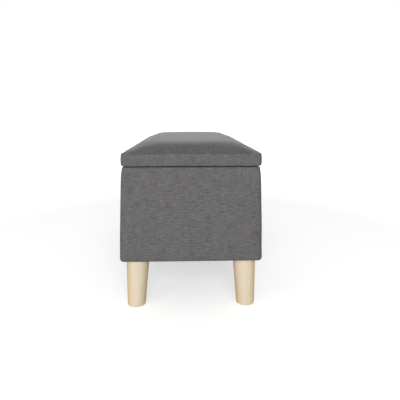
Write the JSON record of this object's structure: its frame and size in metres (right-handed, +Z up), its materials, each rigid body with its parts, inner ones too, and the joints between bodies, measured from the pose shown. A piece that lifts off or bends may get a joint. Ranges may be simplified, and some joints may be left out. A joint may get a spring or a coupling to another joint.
{
  "type": "storage bench",
  "caption": "Upholstered storage bench with a padded, crowned seat lid that hinges up at the back, on splayed round wooden legs.",
  "frame": {"origin": "on the floor, under the middle of the bench", "axes": "+Z up, X along the bench, -Y towards its front, hinges along +Y"},
  "size_m": [0.9, 0.4, 0.464],
  "materials": {
    "grey_weave": "matt slubbed linen-look weave",
    "pale_wood": "clear satin lacquer",
    "plywood": "raw sanded",
    "pine": "raw planed",
    "wadding": "soft fibre",
    "seat_foam": "open-cell foam",
    "lining_cloth": "matt non-woven",
    "dust_cloth": "matt non-woven",
    "hinge_steel": "zinc plated",
    "stay_steel": "zinc plated",
    "zinc_steel": "zinc plated",
    "bumper_rubber": "matt",
    "glide_plastic": "matt"
  },
  "bodies": {
    "box": {"front_panel": "plywood", "back_panel": "plywood", "left_end_panel": "plywood", "right_end_panel": "plywood", "bottom_panel": "plywood", "hinge_rail": "pine", "front_left_post": "pine", "front_right_post": "pine", "back_left_post": "pine", "back_right_post": "pine", "front_left_leg": "pale_wood", "front_right_leg": "pale_wood", "back_left_leg": "pale_wood", "back_right_leg": "pale_wood", "front_padding": "wadding", "back_padding": "wadding", "left_padding": "wadding", "right_padding": "wadding", "box_cover": "grey_weave", "box_lining": "lining_cloth", "underside_cover": "dust_cloth", "panel_screws": "zinc_steel", "leg_bolts": "zinc_steel", "leg_inserts": "zinc_steel", "track_screws": "zinc_steel", "hinge_box_screws": "zinc_steel", "hinge_box_leaf_left": "hinge_steel", "hinge_box_leaf_middle": "hinge_steel", "hinge_box_leaf_right": "hinge_steel", "hinge_pin_left": "hinge_steel", "hinge_pin_middle": "hinge_steel", "hinge_pin_right": "hinge_steel", "stay_track_left": "stay_steel", "stay_track_right": "stay_steel", "front_left_glide": "glide_plastic", "front_right_glide": "glide_plastic", "back_left_glide": "glide_plastic", "back_right_glide": "glide_plastic"},
    "lid": {"lid_board": "plywood", "lid_foam": "seat_foam", "lid_cover": "grey_weave", "lid_underside_cover": "dust_cloth", "lid_bumpers": "bumper_rubber", "hinge_lid_screws": "zinc_steel", "bracket_screws": "zinc_steel", "hinge_lid_leaf_left": "hinge_steel", "hinge_lid_leaf_middle": "hinge_steel", "hinge_lid_leaf_right": "hinge_steel", "stay_bracket_left": "stay_steel", "stay_bracket_right": "stay_steel", "stay_pivot_left": "stay_steel", "stay_pivot_right": "stay_steel"},
    "stay_arm_left": {"stay_arm_left": "stay_steel", "stay_slide_pin_left": "stay_steel"},
    "stay_arm_right": {"stay_arm_right": "stay_steel", "stay_slide_pin_right": "stay_steel"}
  },
  "joints": [
    {"name": "lid_hinge", "type": "hinge", "parent": "box", "child": "lid", "pos_m": [0, 0.19675, 0.4005], "axis": [-1, 0, 0], "range_deg": [0, 80]},
    {"name": "stay_arm_left_pivot", "type": "hinge", "parent": "lid", "child": "stay_arm_left", "pos_m": [-0.4205, 0.08675, 0.3895], "axis": [1, 0, 0], "range_deg": [0, 148]},
    {"name": "stay_arm_right_pivot", "type": "hinge", "parent": "lid", "child": "stay_arm_right", "pos_m": [0.4205, 0.08675, 0.3895], "axis": [1, 0, 0], "range_deg": [0, 148]}
  ],
  "couplings": [
    {"joint": "stay_arm_left_pivot", "follows": "lid_hinge", "ratio": 1.85},
    {"joint": "stay_arm_right_pivot", "follows": "lid_hinge", "ratio": 1.85}
  ]
}
